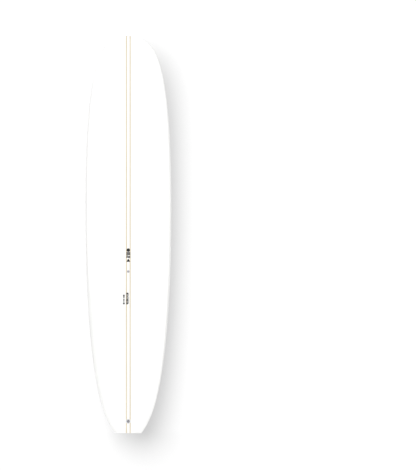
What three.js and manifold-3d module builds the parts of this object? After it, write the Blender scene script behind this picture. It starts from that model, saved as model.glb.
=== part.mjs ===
// A 9 ft 0 in longboard surfboard, in millimetres.
// It is drawn nose up: +Z runs from the square tail to the nose, the deck faces -Y, the bottom faces +Y.
// Its blank is foam with two wooden stringers, wrapped in a deck laminate and a bottom laminate.
// Let into it are a fin box, a leash plug, a vent plug and four printed sheets.
import * as THREE from "three";
import { mergeVertices } from "three/addons/utils/BufferGeometryUtils.js";
import Module from "manifold-3d";

const wasm = await Module();
wasm.setup();

// ---- Overall size ----
const LENGTH = 2743;
const HALF_WIDTH = 295.5;
const WIDE_POINT = 1565; // height of the widest section above the tail
const TAIL_HALF_WIDTH = 91.5;
const THICKEST = 76;
const TAIL_THICKNESS = 25;
const NOSE_THICKNESS = 21;
const THICK_POINT = 1300;
const NOSE_ROCKER = 108;
const TAIL_ROCKER = 88;
const FLAT_POINT = 1200; // where the bottom's rocker line has no slope
const NOSE_ROUND = 14; // length over which the nose edge rounds off
const THINNING = { tail: 2.4, nose: 2.6 }; // powers: a high one keeps the thickness further out
const ROCKER_POWER = { tail: 2.5, nose: 3 };
const GAP = 0.3; // clearance between neighbouring pieces

// ---- Handles of the outline's two curves: a point near the tail, two heights and a half width ----
const TAIL_HANDLE = { z: 79, x: 138.5 };
const WIDE_HANDLE = { tailwards: 223, nosewards: 2607 };
const NOSE_HANDLE_X = 183.5;

// ---- Section shape, at the tail, the thickest section and the nose ----
const RAIL_SHARE = { tail: 0.4, middle: 0.45, nose: 0.5 }; // how much of the thickness is below the rail
const BOTTOM_FLATNESS = { tail: 8, middle: 6, nose: 5 }; // superellipse powers across
const DECK_FLATNESS = { tail: 3.2, middle: 2.8, nose: 3 };
const FULLNESS = 2.25; // superellipse power through the thickness

// ---- Blank and laminates ----
const LAMINATE = 1.2;
const LAP = 45; // the deck laminate wraps this far onto the bottom
const STRINGER_SPACING = 25.6;
const STRINGER_THICKNESS = 6.4;

// ---- Fin box, a long centre box with a T-slot ----
const BOX_CENTRE = 341;
const BOX_FLANGE = { width: 34.8, length: 316, depth: 4 };
const BOX_BODY = { width: 25, length: 296, depth: 25 };
const FIN_SLOT = { width: 10, length: 278, depth: 20 };
const PIN_TRACK = { width: 16, length: 268, top: 9, height: 5 };
const PIN_NOTCH = { length: 7, offset: 42 };
const BOX_BED_RIM = { width: 41.6, length: 322.8, depth: 6.5 };
const BOX_BED_BODY = { width: 33.4, length: 304, depth: 28 };

// ---- Leash plug ----
const LEASH_CENTRE = 82;
const LEASH_RIM = { radius: 14, depth: 2.5 };
const LEASH_CUP = { radius: 13, depth: 16 };
const LEASH_WELL = { radius: 9.5, depth: 13, rounding: 3 };
const LEASH_BAR = { radius: 2, halfLength: 11.5, depth: 4.2 };
const LEASH_BED = { radius: 16.7, depth: 18.2 };

// ---- Vent plug ----
const VENT_CENTRE = 1116;
const VENT_FLANGE = { radius: 10, depth: 2.2 };
const VENT_BODY = { radius: 8.6, depth: 14 };
const VENT_SEAT = { radius: 7.6, depth: 3.4 };
const VENT_BORE = 5.6;
const VENT_STEM = { radius: 5.2, depth: 11 };
const VENT_HOLE = 1.3;
const MEMBRANE = { radius: 4, thickness: 0.5 };
const O_RING = { radius: 6.3, section: 0.55 };

// ---- Printed sheets: height above the tail, offset and size across, and length ----
const PRINT_THICKNESS = 0.3;
const BOTTOM_LABEL = { z: 740, x: 0, width: 104, length: 98 };
const DECK_NAME = { z: 1229.6, x: 0, width: 27.6, length: 93.9 };
const DECK_MODEL = { z: 929.6, x: -6.2, width: 16.6, length: 82.1 };
const DECK_SIZE = { z: 922.6, x: -30.4, width: 12.4, length: 68.2 };

// ---- Fineness ----
const TAIL_ROWS = 14;
const NOSE_ROWS = 17;
const RING_POINTS = 28;
const ARC_STEPS = 8;
const ROUND_STEPS = 24;
const TAIL_CROWDING = 1.4; // powers that draw the sections together towards the ends
const NOSE_CROWDING = 2.2;
const SEARCH_STEPS = 40;
const WELL_STEPS = 4;
const BAR_SIDES = 16;
const WELD = 1e-4;
const NEARLY_ZERO = 1e-6;
const OVERRUN = 1; // how far a cutter runs on past the face it opens
const REACH = 400; // longer than the board is wide or deep, for cutting blocks

// ---- Outline: one Bezier curve from the tail to the widest point, another from there to the nose ----
const tailOutline = new THREE.CubicBezierCurve(
  new THREE.Vector2(0, TAIL_HALF_WIDTH),
  new THREE.Vector2(TAIL_HANDLE.z, TAIL_HANDLE.x),
  new THREE.Vector2(WIDE_HANDLE.tailwards, HALF_WIDTH),
  new THREE.Vector2(WIDE_POINT, HALF_WIDTH),
);
const noseOutline = new THREE.CubicBezierCurve(
  new THREE.Vector2(WIDE_POINT, HALF_WIDTH),
  new THREE.Vector2(WIDE_HANDLE.nosewards, HALF_WIDTH),
  new THREE.Vector2(LENGTH, NOSE_HANDLE_X),
  new THREE.Vector2(LENGTH, 0),
);

// Half the board's width at height z.
function halfWidth(z) {
  const curve = z < WIDE_POINT ? tailOutline : noseOutline;
  let low = 0;
  let high = 1;
  for (let i = 0; i < SEARCH_STEPS; i += 1) {
    const middle = (low + high) / 2;
    if (curve.getPoint(middle).x < z) low = middle;
    else high = middle;
  }
  return curve.getPoint((low + high) / 2).y;
}

// How far z is from the height `from` towards the end of the board on its side, from 0 to 1.
function towardsEnd(z, from) {
  return z < from ? (from - z) / from : (z - from) / (LENGTH - from);
}

// A value that goes smoothly from `middle` at the thickest section to `tail` or `nose` at the ends.
function blend(z, { tail, middle, nose }) {
  const share = THREE.MathUtils.smoothstep(towardsEnd(z, THICK_POINT), 0, 1);
  return THREE.MathUtils.lerp(middle, z < THICK_POINT ? tail : nose, share);
}

function thickness(z) {
  const end = z < THICK_POINT ? TAIL_THICKNESS : NOSE_THICKNESS;
  const power = z < THICK_POINT ? THINNING.tail : THINNING.nose;
  return end + (THICKEST - end) * (1 - towardsEnd(z, THICK_POINT) ** power);
}

// How far the bottom's centre line rises towards the deck side.
function rocker(z) {
  const share = towardsEnd(z, FLAT_POINT);
  if (z < FLAT_POINT) return TAIL_ROCKER * share ** ROCKER_POWER.tail;
  return NOSE_ROCKER * share ** ROCKER_POWER.nose;
}

// The share of the thickness that lies on the bottom's side of the rail.
function railShare(z) {
  return blend(z, RAIL_SHARE);
}

// Near the nose the section closes like a quarter of an ellipse.
function noseClosing(z) {
  const share = Math.max(0, (z - (LENGTH - NOSE_ROUND)) / NOSE_ROUND);
  return Math.sqrt(Math.max(0, 1 - share * share));
}

// Heights of the sections: close together at the ends, further apart in the middle.
function sectionHeights() {
  const list = [];
  for (let i = 0; i < TAIL_ROWS; i += 1) {
    list.push(WIDE_POINT * (i / TAIL_ROWS) ** TAIL_CROWDING);
  }
  for (let i = NOSE_ROWS; i > 0; i -= 1) {
    list.push(LENGTH - (LENGTH - WIDE_POINT) * (i / NOSE_ROWS) ** NOSE_CROWDING);
  }
  return list;
}

// A power of |value| that keeps the sign of value.
function signedPower(value, power) {
  return Math.sign(value) * Math.abs(value) ** power;
}

// One section of the board: from the bottom's centre round the +X rail, the deck and the -X rail.
// Each half is a superellipse: nearly flat and full on the bottom, domed on the deck.
function sectionRing(z) {
  const full = thickness(z);
  const rail = -rocker(z) - full * railShare(z);
  const below = full * railShare(z) * noseClosing(z);
  const above = full * (1 - railShare(z)) * noseClosing(z);
  const width = halfWidth(z);
  const flatness = { bottom: blend(z, BOTTOM_FLATNESS), deck: blend(z, DECK_FLATNESS) };
  const ring = [];
  for (let k = 0; k < RING_POINTS; k += 1) {
    const angle = (2 * Math.PI * k) / RING_POINTS;
    const up = 4 * k < RING_POINTS || 4 * k > 3 * RING_POINTS;
    const x = width * signedPower(Math.sin(angle), 2 / (up ? flatness.bottom : flatness.deck));
    const y = (up ? below : above) * signedPower(Math.cos(angle), 2 / FULLNESS);
    ring.push(new THREE.Vector3(Math.abs(x) < NEARLY_ZERO ? 0 : x, rail + y, z));
  }
  return ring;
}

const heights = sectionHeights();
const sections = heights.map(sectionRing);
sections.push([new THREE.Vector3(0, -NOSE_ROCKER - NOSE_THICKNESS * railShare(LENGTH), LENGTH)]);

// The board is centred between the deck's foremost point and the bottom's.
const depths = sections.flat().map((point) => point.y);
const baseY = -(Math.min(...depths) + Math.max(...depths)) / 2;
sections.flat().forEach((point) => point.setY(point.y + baseY));

const bottomLine = (z) => baseY - rocker(z);
const deckLine = (z) => baseY - rocker(z) - thickness(z);
const middleLine = (z) => baseY - rocker(z) - thickness(z) * railShare(z);

// The point of a section ring with its index wrapped round; the tip has one point only.
function ringPoint(ring, k) {
  return ring.length === 1 ? ring[0] : ring[(k + ring.length) % ring.length];
}

// Unit normals of the outer surface at every point of every section.
const normals = sections.map((ring, i) =>
  ring.map((_, k) => {
    if (ring.length === 1) return new THREE.Vector3(0, 0, 1);
    const next = ringPoint(sections[i + 1], k);
    const previous = ringPoint(sections[Math.max(i - 1, 0)], k);
    const along = new THREE.Vector3().subVectors(next, previous);
    const around = new THREE.Vector3().subVectors(ringPoint(ring, k + 1), ringPoint(ring, k - 1));
    return along.cross(around).normalize();
  }),
);

// ---- Solids ----

function solidFrom(positions, triangles) {
  const mesh = new wasm.Mesh({
    numProp: 3,
    vertProperties: new Float32Array(positions),
    triVerts: new Uint32Array(triangles),
  });
  return new wasm.Manifold(mesh);
}

// A closed solid through rings of equal length. An end ring of one point is a tip; any other is capped.
function loft(rings) {
  const positions = [];
  const first = [];
  const triangles = [];
  const add = (point) => positions.push(point.x, point.y, point.z) / 3 - 1;
  rings.forEach((ring) => first.push(ring.map(add)));
  const index = (i, k) => ringPoint(first[i], k);
  const sides = rings[1].length;
  for (let i = 0; i + 1 < rings.length; i += 1) {
    for (let k = 0; k < sides; k += 1) {
      if (rings[i + 1].length > 1) triangles.push(index(i, k + 1), index(i + 1, k), index(i + 1, k + 1));
      triangles.push(index(i, k), index(i + 1, k), index(i, k + 1));
    }
  }
  const cap = (i, flip) => {
    const ring = rings[i];
    if (ring.length === 1) return;
    const centre = ring.reduce((sum, point) => sum.add(point), new THREE.Vector3());
    const middle = add(centre.divideScalar(ring.length));
    for (let k = 0; k < sides; k += 1) {
      triangles.push(middle, index(i, flip ? k + 1 : k), index(i, flip ? k : k + 1));
    }
  };
  cap(0, false);
  cap(rings.length - 1, true);
  return solidFrom(positions, triangles);
}

// A three.js geometry as a solid, moved by matrix.
function solidOf(geometry, matrix) {
  const bare = geometry.clone().deleteAttribute("normal").deleteAttribute("uv").applyMatrix4(matrix);
  const merged = mergeVertices(bare, WELD);
  return solidFrom(merged.attributes.position.array, merged.index.array);
}

// The board's whole shape, `inset` inside its surface.
function boardSolid(inset) {
  const rings = sections.map((ring, i) =>
    ring.map((point, k) => point.clone().addScaledVector(normals[i][k], -inset)),
  );
  rings[0].forEach((point) => point.setZ(inset));
  return loft(rings);
}

// A block between two opposite corners.
function block(low, high) {
  const size = high.map((value, i) => value - low[i]);
  const centre = high.map((value, i) => (value + low[i]) / 2);
  return solidOf(new THREE.BoxGeometry(...size), new THREE.Matrix4().makeTranslation(...centre));
}

// ---- Seats: frames on the centre line for fittings. Local +Z is outwards, local +Y towards the nose ----

function seat(z, line, outward) {
  const step = 1;
  const slope = (line(z + step) - line(z - step)) / (2 * step);
  const along = new THREE.Vector3(0, slope, 1).normalize();
  const out = new THREE.Vector3(0, 1, -slope).normalize().multiplyScalar(outward);
  const across = new THREE.Vector3().crossVectors(along, out);
  return new THREE.Matrix4().makeBasis(across, along, out).setPosition(0, line(z), z);
}

const boxSeat = seat(BOX_CENTRE, bottomLine, 1);
const leashSeat = seat(LEASH_CENTRE, deckLine, -1);
const ventSeat = seat(VENT_CENTRE, deckLine, -1);

// A stadium-shaped block in a seat, from local height `low` to `high`, grown all round its outline.
function stadium(place, { width, length }, low, high, grow = 0) {
  const radius = width / 2 + grow;
  const reach = (length - width) / 2;
  const shape = new THREE.Shape();
  shape.absarc(0, reach, radius, 0, Math.PI);
  shape.absarc(0, -reach, radius, Math.PI, 2 * Math.PI);
  const options = { depth: high - low, bevelEnabled: false, curveSegments: ARC_STEPS };
  const geometry = new THREE.ExtrudeGeometry(shape, options).translate(0, 0, low);
  return solidOf(geometry, place);
}

// A box in a seat, centred across it.
function slab(place, width, length, low, high, shift = 0) {
  const geometry = new THREE.BoxGeometry(width, length, high - low);
  return solidOf(geometry.translate(0, shift, (low + high) / 2), place);
}

// A solid turned about a seat's outward axis; its profile is a list of [radius, height] that starts and
// ends on the axis or closes on itself, listed from the inner end outwards.
function turned(place, profile) {
  const points = profile.map(([radius, height]) => new THREE.Vector2(radius, height));
  const geometry = new THREE.LatheGeometry(points, ROUND_STEPS).rotateX(Math.PI / 2);
  return solidOf(geometry, place);
}

// A plain round block in a seat.
function disc(place, radius, low, high) {
  return turned(place, [[0, low], [radius, low], [radius, high], [0, high]]);
}

// ---- Fin box ----

const PROUD = 4; // fittings that are faced off flush with the board start this much proud of it

function finBoxShell(grow) {
  const flange = stadium(boxSeat, BOX_FLANGE, -BOX_FLANGE.depth - grow, PROUD, grow);
  return flange.add(stadium(boxSeat, BOX_BODY, -BOX_BODY.depth - grow, PROUD, grow));
}

// The slot takes the fin's base; the undercut track takes the pin and screw plate, let in by the notch.
function finBox(outer) {
  const slot = stadium(boxSeat, FIN_SLOT, -FIN_SLOT.depth, PROUD + OVERRUN);
  const trackTop = -PIN_TRACK.top;
  const track = slab(boxSeat, PIN_TRACK.width, PIN_TRACK.length, trackTop - PIN_TRACK.height, trackTop);
  const notchHeights = [trackTop - OVERRUN, PROUD + OVERRUN];
  const notch = slab(boxSeat, PIN_TRACK.width, PIN_NOTCH.length, ...notchHeights, PIN_NOTCH.offset);
  return finBoxShell(0).intersect(outer).subtract(slot).subtract(track).subtract(notch);
}

function finBoxPocket(grow) {
  const rim = stadium(boxSeat, BOX_BED_RIM, -BOX_BED_RIM.depth - grow, PROUD, grow);
  return rim.add(stadium(boxSeat, BOX_BED_BODY, -BOX_BED_BODY.depth - grow, PROUD, grow));
}

// ---- Leash plug ----

const LEASH_PROUD = 0.2; // the rim stands this little above the deck

function leashCupOutside(grow) {
  return [
    [0, -LEASH_CUP.depth - grow],
    [LEASH_CUP.radius + grow, -LEASH_CUP.depth - grow],
    [LEASH_CUP.radius + grow, -LEASH_RIM.depth - grow],
    [LEASH_RIM.radius + grow, -LEASH_RIM.depth - grow],
  ];
}

// A cup whose well has a rounded floor; a cross hole through its wall holds the bar.
function leashCup() {
  const { radius, depth, rounding } = LEASH_WELL;
  const well = [];
  for (let i = 0; i <= WELL_STEPS; i += 1) {
    const angle = (i / WELL_STEPS) * (Math.PI / 2);
    well.push([
      radius - rounding + rounding * Math.cos(angle),
      rounding - depth - rounding * Math.sin(angle),
    ]);
  }
  const rim = [[LEASH_RIM.radius, LEASH_PROUD], [radius, LEASH_PROUD]];
  const cup = turned(leashSeat, [...leashCupOutside(0), ...rim, ...well, [0, -depth]]);
  return cup.subtract(leashBar(GAP));
}

// A round bar across the well.
function leashBar(grow) {
  const radius = LEASH_BAR.radius + grow;
  const length = 2 * (LEASH_BAR.halfLength + grow);
  const geometry = new THREE.CylinderGeometry(radius, radius, length, BAR_SIDES);
  return solidOf(geometry.rotateZ(Math.PI / 2).translate(0, 0, -LEASH_BAR.depth), leashSeat);
}

// ---- Vent plug ----

const VENT_PROUD = 0.2;
const HEAD_CHAMFER = 0.8;
const COUNTERSINK = 1.2; // round the air hole

function ventOutside(grow) {
  return [
    [VENT_BODY.radius + grow, -VENT_BODY.depth - grow],
    [VENT_BODY.radius + grow, -VENT_FLANGE.depth - grow],
    [VENT_FLANGE.radius + grow, -VENT_FLANGE.depth - grow],
  ];
}

// A bush with a seat for the plug's head and a bore for its stem.
function ventHousing() {
  const outside = ventOutside(0);
  const inside = [
    [VENT_FLANGE.radius, VENT_PROUD],
    [VENT_SEAT.radius, VENT_PROUD],
    [VENT_SEAT.radius, -VENT_SEAT.depth],
    [VENT_BORE, -VENT_SEAT.depth],
    [VENT_BORE, -VENT_BODY.depth],
  ];
  return turned(ventSeat, [...outside, ...inside, outside[0]]);
}

// The plug's head stops short of the seat's floor, which leaves room for the O-ring under it.
const HEAD_UNDERSIDE = -VENT_SEAT.depth + 2 * O_RING.section + 2 * GAP;

// A headed plug with a hole along its axis and a recess for the membrane at its inner end.
function ventPlug() {
  const head = VENT_SEAT.radius - GAP;
  const recess = MEMBRANE.radius + GAP;
  const recessTop = -VENT_STEM.depth + MEMBRANE.thickness + 2 * GAP;
  const profile = [
    [recess, -VENT_STEM.depth],
    [VENT_STEM.radius, -VENT_STEM.depth],
    [VENT_STEM.radius, HEAD_UNDERSIDE],
    [head, HEAD_UNDERSIDE],
    [head, VENT_PROUD - HEAD_CHAMFER],
    [head - HEAD_CHAMFER, VENT_PROUD],
    [VENT_HOLE + COUNTERSINK, VENT_PROUD],
    [VENT_HOLE, VENT_PROUD - COUNTERSINK],
    [VENT_HOLE, recessTop],
    [recess, recessTop],
    [recess, -VENT_STEM.depth],
  ];
  return turned(ventSeat, profile);
}

function ventMembrane() {
  const low = -VENT_STEM.depth + GAP;
  return disc(ventSeat, MEMBRANE.radius, low, low + MEMBRANE.thickness);
}

function ventORing() {
  const ring = new THREE.TorusGeometry(O_RING.radius, O_RING.section, ARC_STEPS, ROUND_STEPS);
  return solidOf(ring.translate(0, 0, -VENT_SEAT.depth + O_RING.section + GAP), ventSeat);
}

// ---- Printed sheets, let into the laminate's face ----

function printBlock({ z, x, width, length }, outward, grow) {
  const inner = middleLine(z);
  const outer = inner + outward * REACH;
  const low = [x - width / 2 - grow, Math.min(inner, outer), z - length / 2 - grow];
  const high = [x + width / 2 + grow, Math.max(inner, outer), z + length / 2 + grow];
  return block(low, high);
}

// ---- Blank: foam and stringers as upright slices of the inner shape ----

const STRINGER_INNER = (STRINGER_SPACING - STRINGER_THICKNESS) / 2;
const STRINGER_OUTER = STRINGER_INNER + STRINGER_THICKNESS;

function slice(shape, from, to) {
  return shape.intersect(block([from, -REACH, -REACH], [to, REACH, LENGTH + REACH]));
}

// ---- Laminates: the bottom sheet's outline is the board's, drawn in by the lap ----

function bottomSheetBlock(grow) {
  const across = (HALF_WIDTH - LAP) / HALF_WIDTH;
  const along = (LENGTH - 2 * LAP) / LENGTH;
  const rings = heights.map((height) => {
    const z = LAP + height * along;
    const edge = halfWidth(height) * across + grow;
    const low = middleLine(z);
    const corners = [[-edge, REACH], [edge, REACH], [edge, low], [-edge, low]];
    return corners.map(([x, y]) => new THREE.Vector3(x, y, z));
  });
  rings[0].forEach((point) => point.setZ(point.z - grow));
  rings[rings.length - 1].forEach((point) => point.setZ(point.z + grow));
  return loft(rings);
}

// ---- Assembly ----

const COLOURS = {
  foam: { color: 0xf3f2ec, roughness: 0.9 },
  wood: { color: 0xdfc79c, roughness: 0.6 },
  laminate: { color: 0xfbfbf9, roughness: 0.15 },
  resin: { color: 0xcfd2d3, roughness: 0.25 },
  box: { color: 0xf4f4f2, roughness: 0.4 },
  plug: { color: 0x9b9aa3, roughness: 0.45 },
  vent: { color: 0xb6b6c0, roughness: 0.45 },
  steel: { color: 0xc4c7ca, roughness: 0.25, metalness: 1 },
  rubber: { color: 0x1b1b1c, roughness: 0.8 },
  film: { color: 0xececec, roughness: 0.7 },
  print: { color: 0x2b2c2e, roughness: 0.3 },
};

const board = new THREE.Group();

function addPiece(name, solid, finish) {
  const { vertProperties, triVerts, numProp } = solid.getMesh();
  const geometry = new THREE.BufferGeometry();
  const buffer = new THREE.InterleavedBuffer(vertProperties, numProp);
  geometry.setAttribute("position", new THREE.InterleavedBufferAttribute(buffer, 3, 0));
  geometry.setIndex(new THREE.BufferAttribute(triVerts, 1));
  const mesh = new THREE.Mesh(geometry, new THREE.MeshStandardMaterial(COLOURS[finish]));
  mesh.name = name;
  board.add(mesh);
}

const outer = boardSolid(0);
const leashPocket = disc(leashSeat, LEASH_BED.radius + GAP, -LEASH_BED.depth - GAP, PROUD);
const ventProfile = ventOutside(GAP);
const ventPocket = turned(ventSeat, [
  [0, -VENT_BODY.depth - GAP],
  ...ventProfile,
  [VENT_FLANGE.radius + GAP, PROUD],
  [0, PROUD],
]);
const pockets = finBoxPocket(GAP).add(leashPocket).add(ventPocket);

const blank = boardSolid(LAMINATE + GAP).subtract(pockets);
addPiece("foam_left", slice(blank, -REACH, -STRINGER_OUTER - GAP), "foam");
addPiece("stringer_left", slice(blank, -STRINGER_OUTER, -STRINGER_INNER), "wood");
addPiece("foam_centre", slice(blank, -STRINGER_INNER + GAP, STRINGER_INNER - GAP), "foam");
addPiece("stringer_right", slice(blank, STRINGER_INNER, STRINGER_OUTER), "wood");
addPiece("foam_right", slice(blank, STRINGER_OUTER + GAP, REACH), "foam");

const printSheet = outer.subtract(boardSolid(PRINT_THICKNESS));
const recesses = printBlock(BOTTOM_LABEL, 1, GAP)
  .add(printBlock(DECK_NAME, -1, GAP))
  .add(printBlock(DECK_MODEL, -1, GAP))
  .add(printBlock(DECK_SIZE, -1, GAP))
  .subtract(boardSolid(PRINT_THICKNESS + GAP));
const skin = outer.subtract(boardSolid(LAMINATE)).subtract(pockets).subtract(recesses);
addPiece("deck_laminate", skin.subtract(bottomSheetBlock(GAP / 2)), "laminate");
addPiece("bottom_laminate", skin.intersect(bottomSheetBlock(-GAP / 2)), "laminate");

addPiece("bottom_label", printSheet.intersect(printBlock(BOTTOM_LABEL, 1, 0)), "print");
addPiece("deck_print_name", printSheet.intersect(printBlock(DECK_NAME, -1, 0)), "print");
addPiece("deck_print_model", printSheet.intersect(printBlock(DECK_MODEL, -1, 0)), "print");
addPiece("deck_print_size", printSheet.intersect(printBlock(DECK_SIZE, -1, 0)), "print");

addPiece("fin_box", finBox(outer), "box");
const boxBed = finBoxPocket(0).intersect(outer).subtract(finBoxShell(GAP));
addPiece("fin_box_bedding", boxBed, "resin");

const leashRoom = turned(leashSeat, [
  ...leashCupOutside(GAP),
  [LEASH_RIM.radius + GAP, PROUD],
  [0, PROUD],
]);
const leashBed = disc(leashSeat, LEASH_BED.radius, -LEASH_BED.depth, PROUD).intersect(outer);
addPiece("leash_plug_cup", leashCup(), "plug");
addPiece("leash_plug_bar", leashBar(0), "steel");
addPiece("leash_plug_bedding", leashBed.subtract(leashRoom), "resin");

addPiece("vent_housing", ventHousing(), "vent");
addPiece("vent_plug", ventPlug(), "vent");
addPiece("vent_o_ring", ventORing(), "rubber");
addPiece("vent_membrane", ventMembrane(), "film");

export default board;
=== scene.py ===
# The looks of a 9 ft 0 in longboard surfboard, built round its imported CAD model. All lengths are in metres.
# The board stands nose up: +Z runs from the square tail to the nose, the deck faces -Y, the bottom faces +Y.
# The laminates are remade smooth from the same formulas as the CAD, and the fittings get fine edges here.
import math

import bmesh
import bpy
import numpy as np
from mathutils import Matrix, Vector


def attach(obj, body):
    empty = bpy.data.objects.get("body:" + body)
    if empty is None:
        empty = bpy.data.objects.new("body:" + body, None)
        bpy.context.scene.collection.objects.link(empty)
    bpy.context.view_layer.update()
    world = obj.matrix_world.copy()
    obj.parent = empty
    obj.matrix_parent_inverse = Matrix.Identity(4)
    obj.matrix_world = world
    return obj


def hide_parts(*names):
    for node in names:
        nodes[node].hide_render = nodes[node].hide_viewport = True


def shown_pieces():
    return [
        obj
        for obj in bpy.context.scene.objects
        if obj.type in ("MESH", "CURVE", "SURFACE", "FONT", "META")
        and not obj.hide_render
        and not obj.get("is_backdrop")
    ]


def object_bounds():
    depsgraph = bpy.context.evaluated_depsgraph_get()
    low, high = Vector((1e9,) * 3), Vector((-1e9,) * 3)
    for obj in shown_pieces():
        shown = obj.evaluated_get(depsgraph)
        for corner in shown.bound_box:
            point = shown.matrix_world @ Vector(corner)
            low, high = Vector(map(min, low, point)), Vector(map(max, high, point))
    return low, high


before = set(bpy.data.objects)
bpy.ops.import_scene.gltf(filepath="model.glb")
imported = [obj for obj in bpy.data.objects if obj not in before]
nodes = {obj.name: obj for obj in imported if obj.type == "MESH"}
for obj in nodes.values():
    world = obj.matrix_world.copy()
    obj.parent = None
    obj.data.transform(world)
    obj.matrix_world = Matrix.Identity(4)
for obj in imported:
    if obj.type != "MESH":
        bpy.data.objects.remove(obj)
cad_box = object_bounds()

# ---- The board's driving dimensions, as in the CAD ----
LENGTH = 2.743
HALF_WIDTH = 0.2955
WIDE_POINT = 1.565  # height of the widest section above the tail
TAIL_HALF_WIDTH = 0.0915
THICKEST = 0.076
TAIL_THICKNESS = 0.025
NOSE_THICKNESS = 0.021
THICK_POINT = 1.3
NOSE_ROCKER = 0.108
TAIL_ROCKER = 0.088
FLAT_POINT = 1.2  # where the bottom's rocker line has no slope
NOSE_ROUND = 0.014  # length over which the nose edge rounds off
THINNING = (2.4, 2.6)  # powers towards the tail and the nose
ROCKER_POWER = (2.5, 3.0)
BASE_Y = cad_box[1].y

# Handles of the outline's two curves: a point near the tail, two heights and a half width
TAIL_HANDLE = (0.079, 0.1385)
WIDE_HANDLES = (0.223, 2.607)
NOSE_HANDLE = 0.1835

# Section shape, at the tail, the thickest section and the nose
RAIL_SHARE = (0.4, 0.45, 0.5)  # how much of the thickness is on the bottom's side of the rail
BOTTOM_FLATNESS = (8, 6, 5)  # superellipse powers across
DECK_FLATNESS = (3.2, 2.8, 3)
FULLNESS = 2.25  # superellipse power through the thickness

LAMINATE = 0.0012
LAP = 0.045  # the deck laminate wraps this far onto the bottom
STRINGER_CENTRE = 0.0128
STRINGER_HALF = 0.0032

# ---- Fin box: width and length at each level, and depths below the board's surface ----
BOX_CENTRE = 0.341  # height of its middle above the tail
BOX_FLANGE = (0.0348, 0.316)
BOX_FLANGE_DEPTH = 0.004
BOX_BODY = (0.025, 0.296)
BOX_DEPTH = 0.025
BOX_EDGE = 0.0006  # rounding of the slot's rim
FIN_SLOT = (0.010, 0.278)
SLOT_DEPTH = 0.020
SLOT_FOOT = 0.001  # bevel round the slot's floor
PIN_TRACK = (0.016, 0.268)
TRACK_TOP = 0.009
TRACK_HEIGHT = 0.005
TRACK_CORNER = 0.002
NOTCH_OFFSET = 0.042
NOTCH_LENGTH = 0.007
BED_RIM = (0.0416, 0.3228)
BED_RIM_DEPTH = 0.0065
BED_BODY = (0.0334, 0.304)
BED_DEPTH = 0.028

# ---- Leash plug: height above the tail, radii, and depths below the deck ----
LEASH_CENTRE = 0.082
LEASH_RIM = 0.014
LEASH_RIM_DEPTH = 0.0025
LEASH_CUP = 0.013
LEASH_CUP_DEPTH = 0.016
LEASH_LIP = 0.0007  # rounding of the rim's edges
LEASH_GROOVE = (0.0122, 0.0120, 0.0117, 0.0115)  # a fine groove round the rim: its corners from outside
LEASH_GROOVE_DEPTH = 0.00025
LEASH_WELL = 0.0095
LEASH_WELL_DEPTH = 0.013
LEASH_WELL_ROUND = 0.003
LEASH_BAR = 0.002
LEASH_BAR_HALF = 0.0115  # half its length
LEASH_BAR_DEPTH = 0.0042
LEASH_BED = 0.0167
LEASH_BED_DEPTH = 0.0182
PROUD = 0.0002  # the round fittings stand this little above the deck

# ---- Vent: height above the tail, radii, and depths below the deck ----
VENT_CENTRE = 1.116
VENT_FLANGE = 0.010
VENT_FLANGE_DEPTH = 0.0022
VENT_BODY = 0.0086
VENT_BODY_DEPTH = 0.014
VENT_LIP = 0.0005  # rounding of the bush's and the plug's edges
VENT_SEAT_RADIUS = 0.0076
VENT_SEAT_DEPTH = 0.0034
VENT_BORE = 0.0056
PLUG_GAP = 0.0003
PLUG_HEAD_DEPTH = 0.0017
PLUG_STEM = 0.0052
PLUG_DEPTH = 0.011
PLUG_RECESS = (0.0043, 0.0099)  # where the membrane lies: its radius and its depth
AIR_HOLE = 0.0013
AIR_HOLE_MOUTH = (0.0027, 0.0024)  # the hole's wider mouth: its radius at the top and under the bevel
AIR_HOLE_BEVEL = 0.0001
AIR_HOLE_MOUTH_DEPTH = 0.001

# ---- Printed sheets: height above the tail, offset across, width and length ----
BOTTOM_LABEL = (0.740, 0.0, 0.104, 0.098)
DECK_NAME = (1.2296, 0.0, 0.0276, 0.0939)
DECK_MODEL = (0.9296, -0.0062, 0.0166, 0.0821)
DECK_SIZE = (0.9226, -0.0304, 0.0124, 0.0682)
INK_PROUD = 0.00012  # the prints' faces lie this little above the board's surface
MOTIF_PROUD = 1.5 * INK_PROUD  # the label's pale print lies over its black field
INK_DEPTH = 0.0002
LABEL_MARGIN = 0.0004
LABEL_CORNER = 0.003
BAR_CORNER = 0.0006

# ---- Fineness ----
CURVE_STEPS = (2000, 4000)
TAIL_ROWS = 96
NOSE_ROWS = 112
HALF_RING = 56
DENSE_POINTS = 500  # per quarter of a section, before its points are spread
TURN_WEIGHT = 0.35  # how strongly points gather where the section turns
NARROWEST = 0.02  # half width below which a section's points spread as on one this wide
TAIL_EDGE = 0.003  # rounding of the tail's edges
TAIL_EDGE_ROWS = 6
FIRST_ROW = 1.3 * TAIL_EDGE  # no section is lower than this, above the rounding
CORNER_STEPS = 10
SIDE_STEPS = 40
ROUND = 72
LIP_STEPS = 4
DISC_STEPS = 48
WAVE_STEPS = 16  # for each wave of a band
CRESCENT_STEPS = (40, 30)  # on the outer and the inner edge
RIM_STEPS = 96
SHARP_ANGLE = math.radians(35)  # edges that turn by more than this stay sharp in the shading
CAP_RADIUS = 0.0005  # half the size of the small flat cap that ends a turned piece near its axis
SHEET_STEP = 0.003  # the grid of a printed sheet
SEARCH_STEPS = 4  # to find the surface over a point of a seat
HAIR = 0.00001  # keeps points and walls from lying on each other
BEYOND = 0.2  # cutting blocks run this far to the front or back, well out of the board


# ---- The board's shape ----

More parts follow.
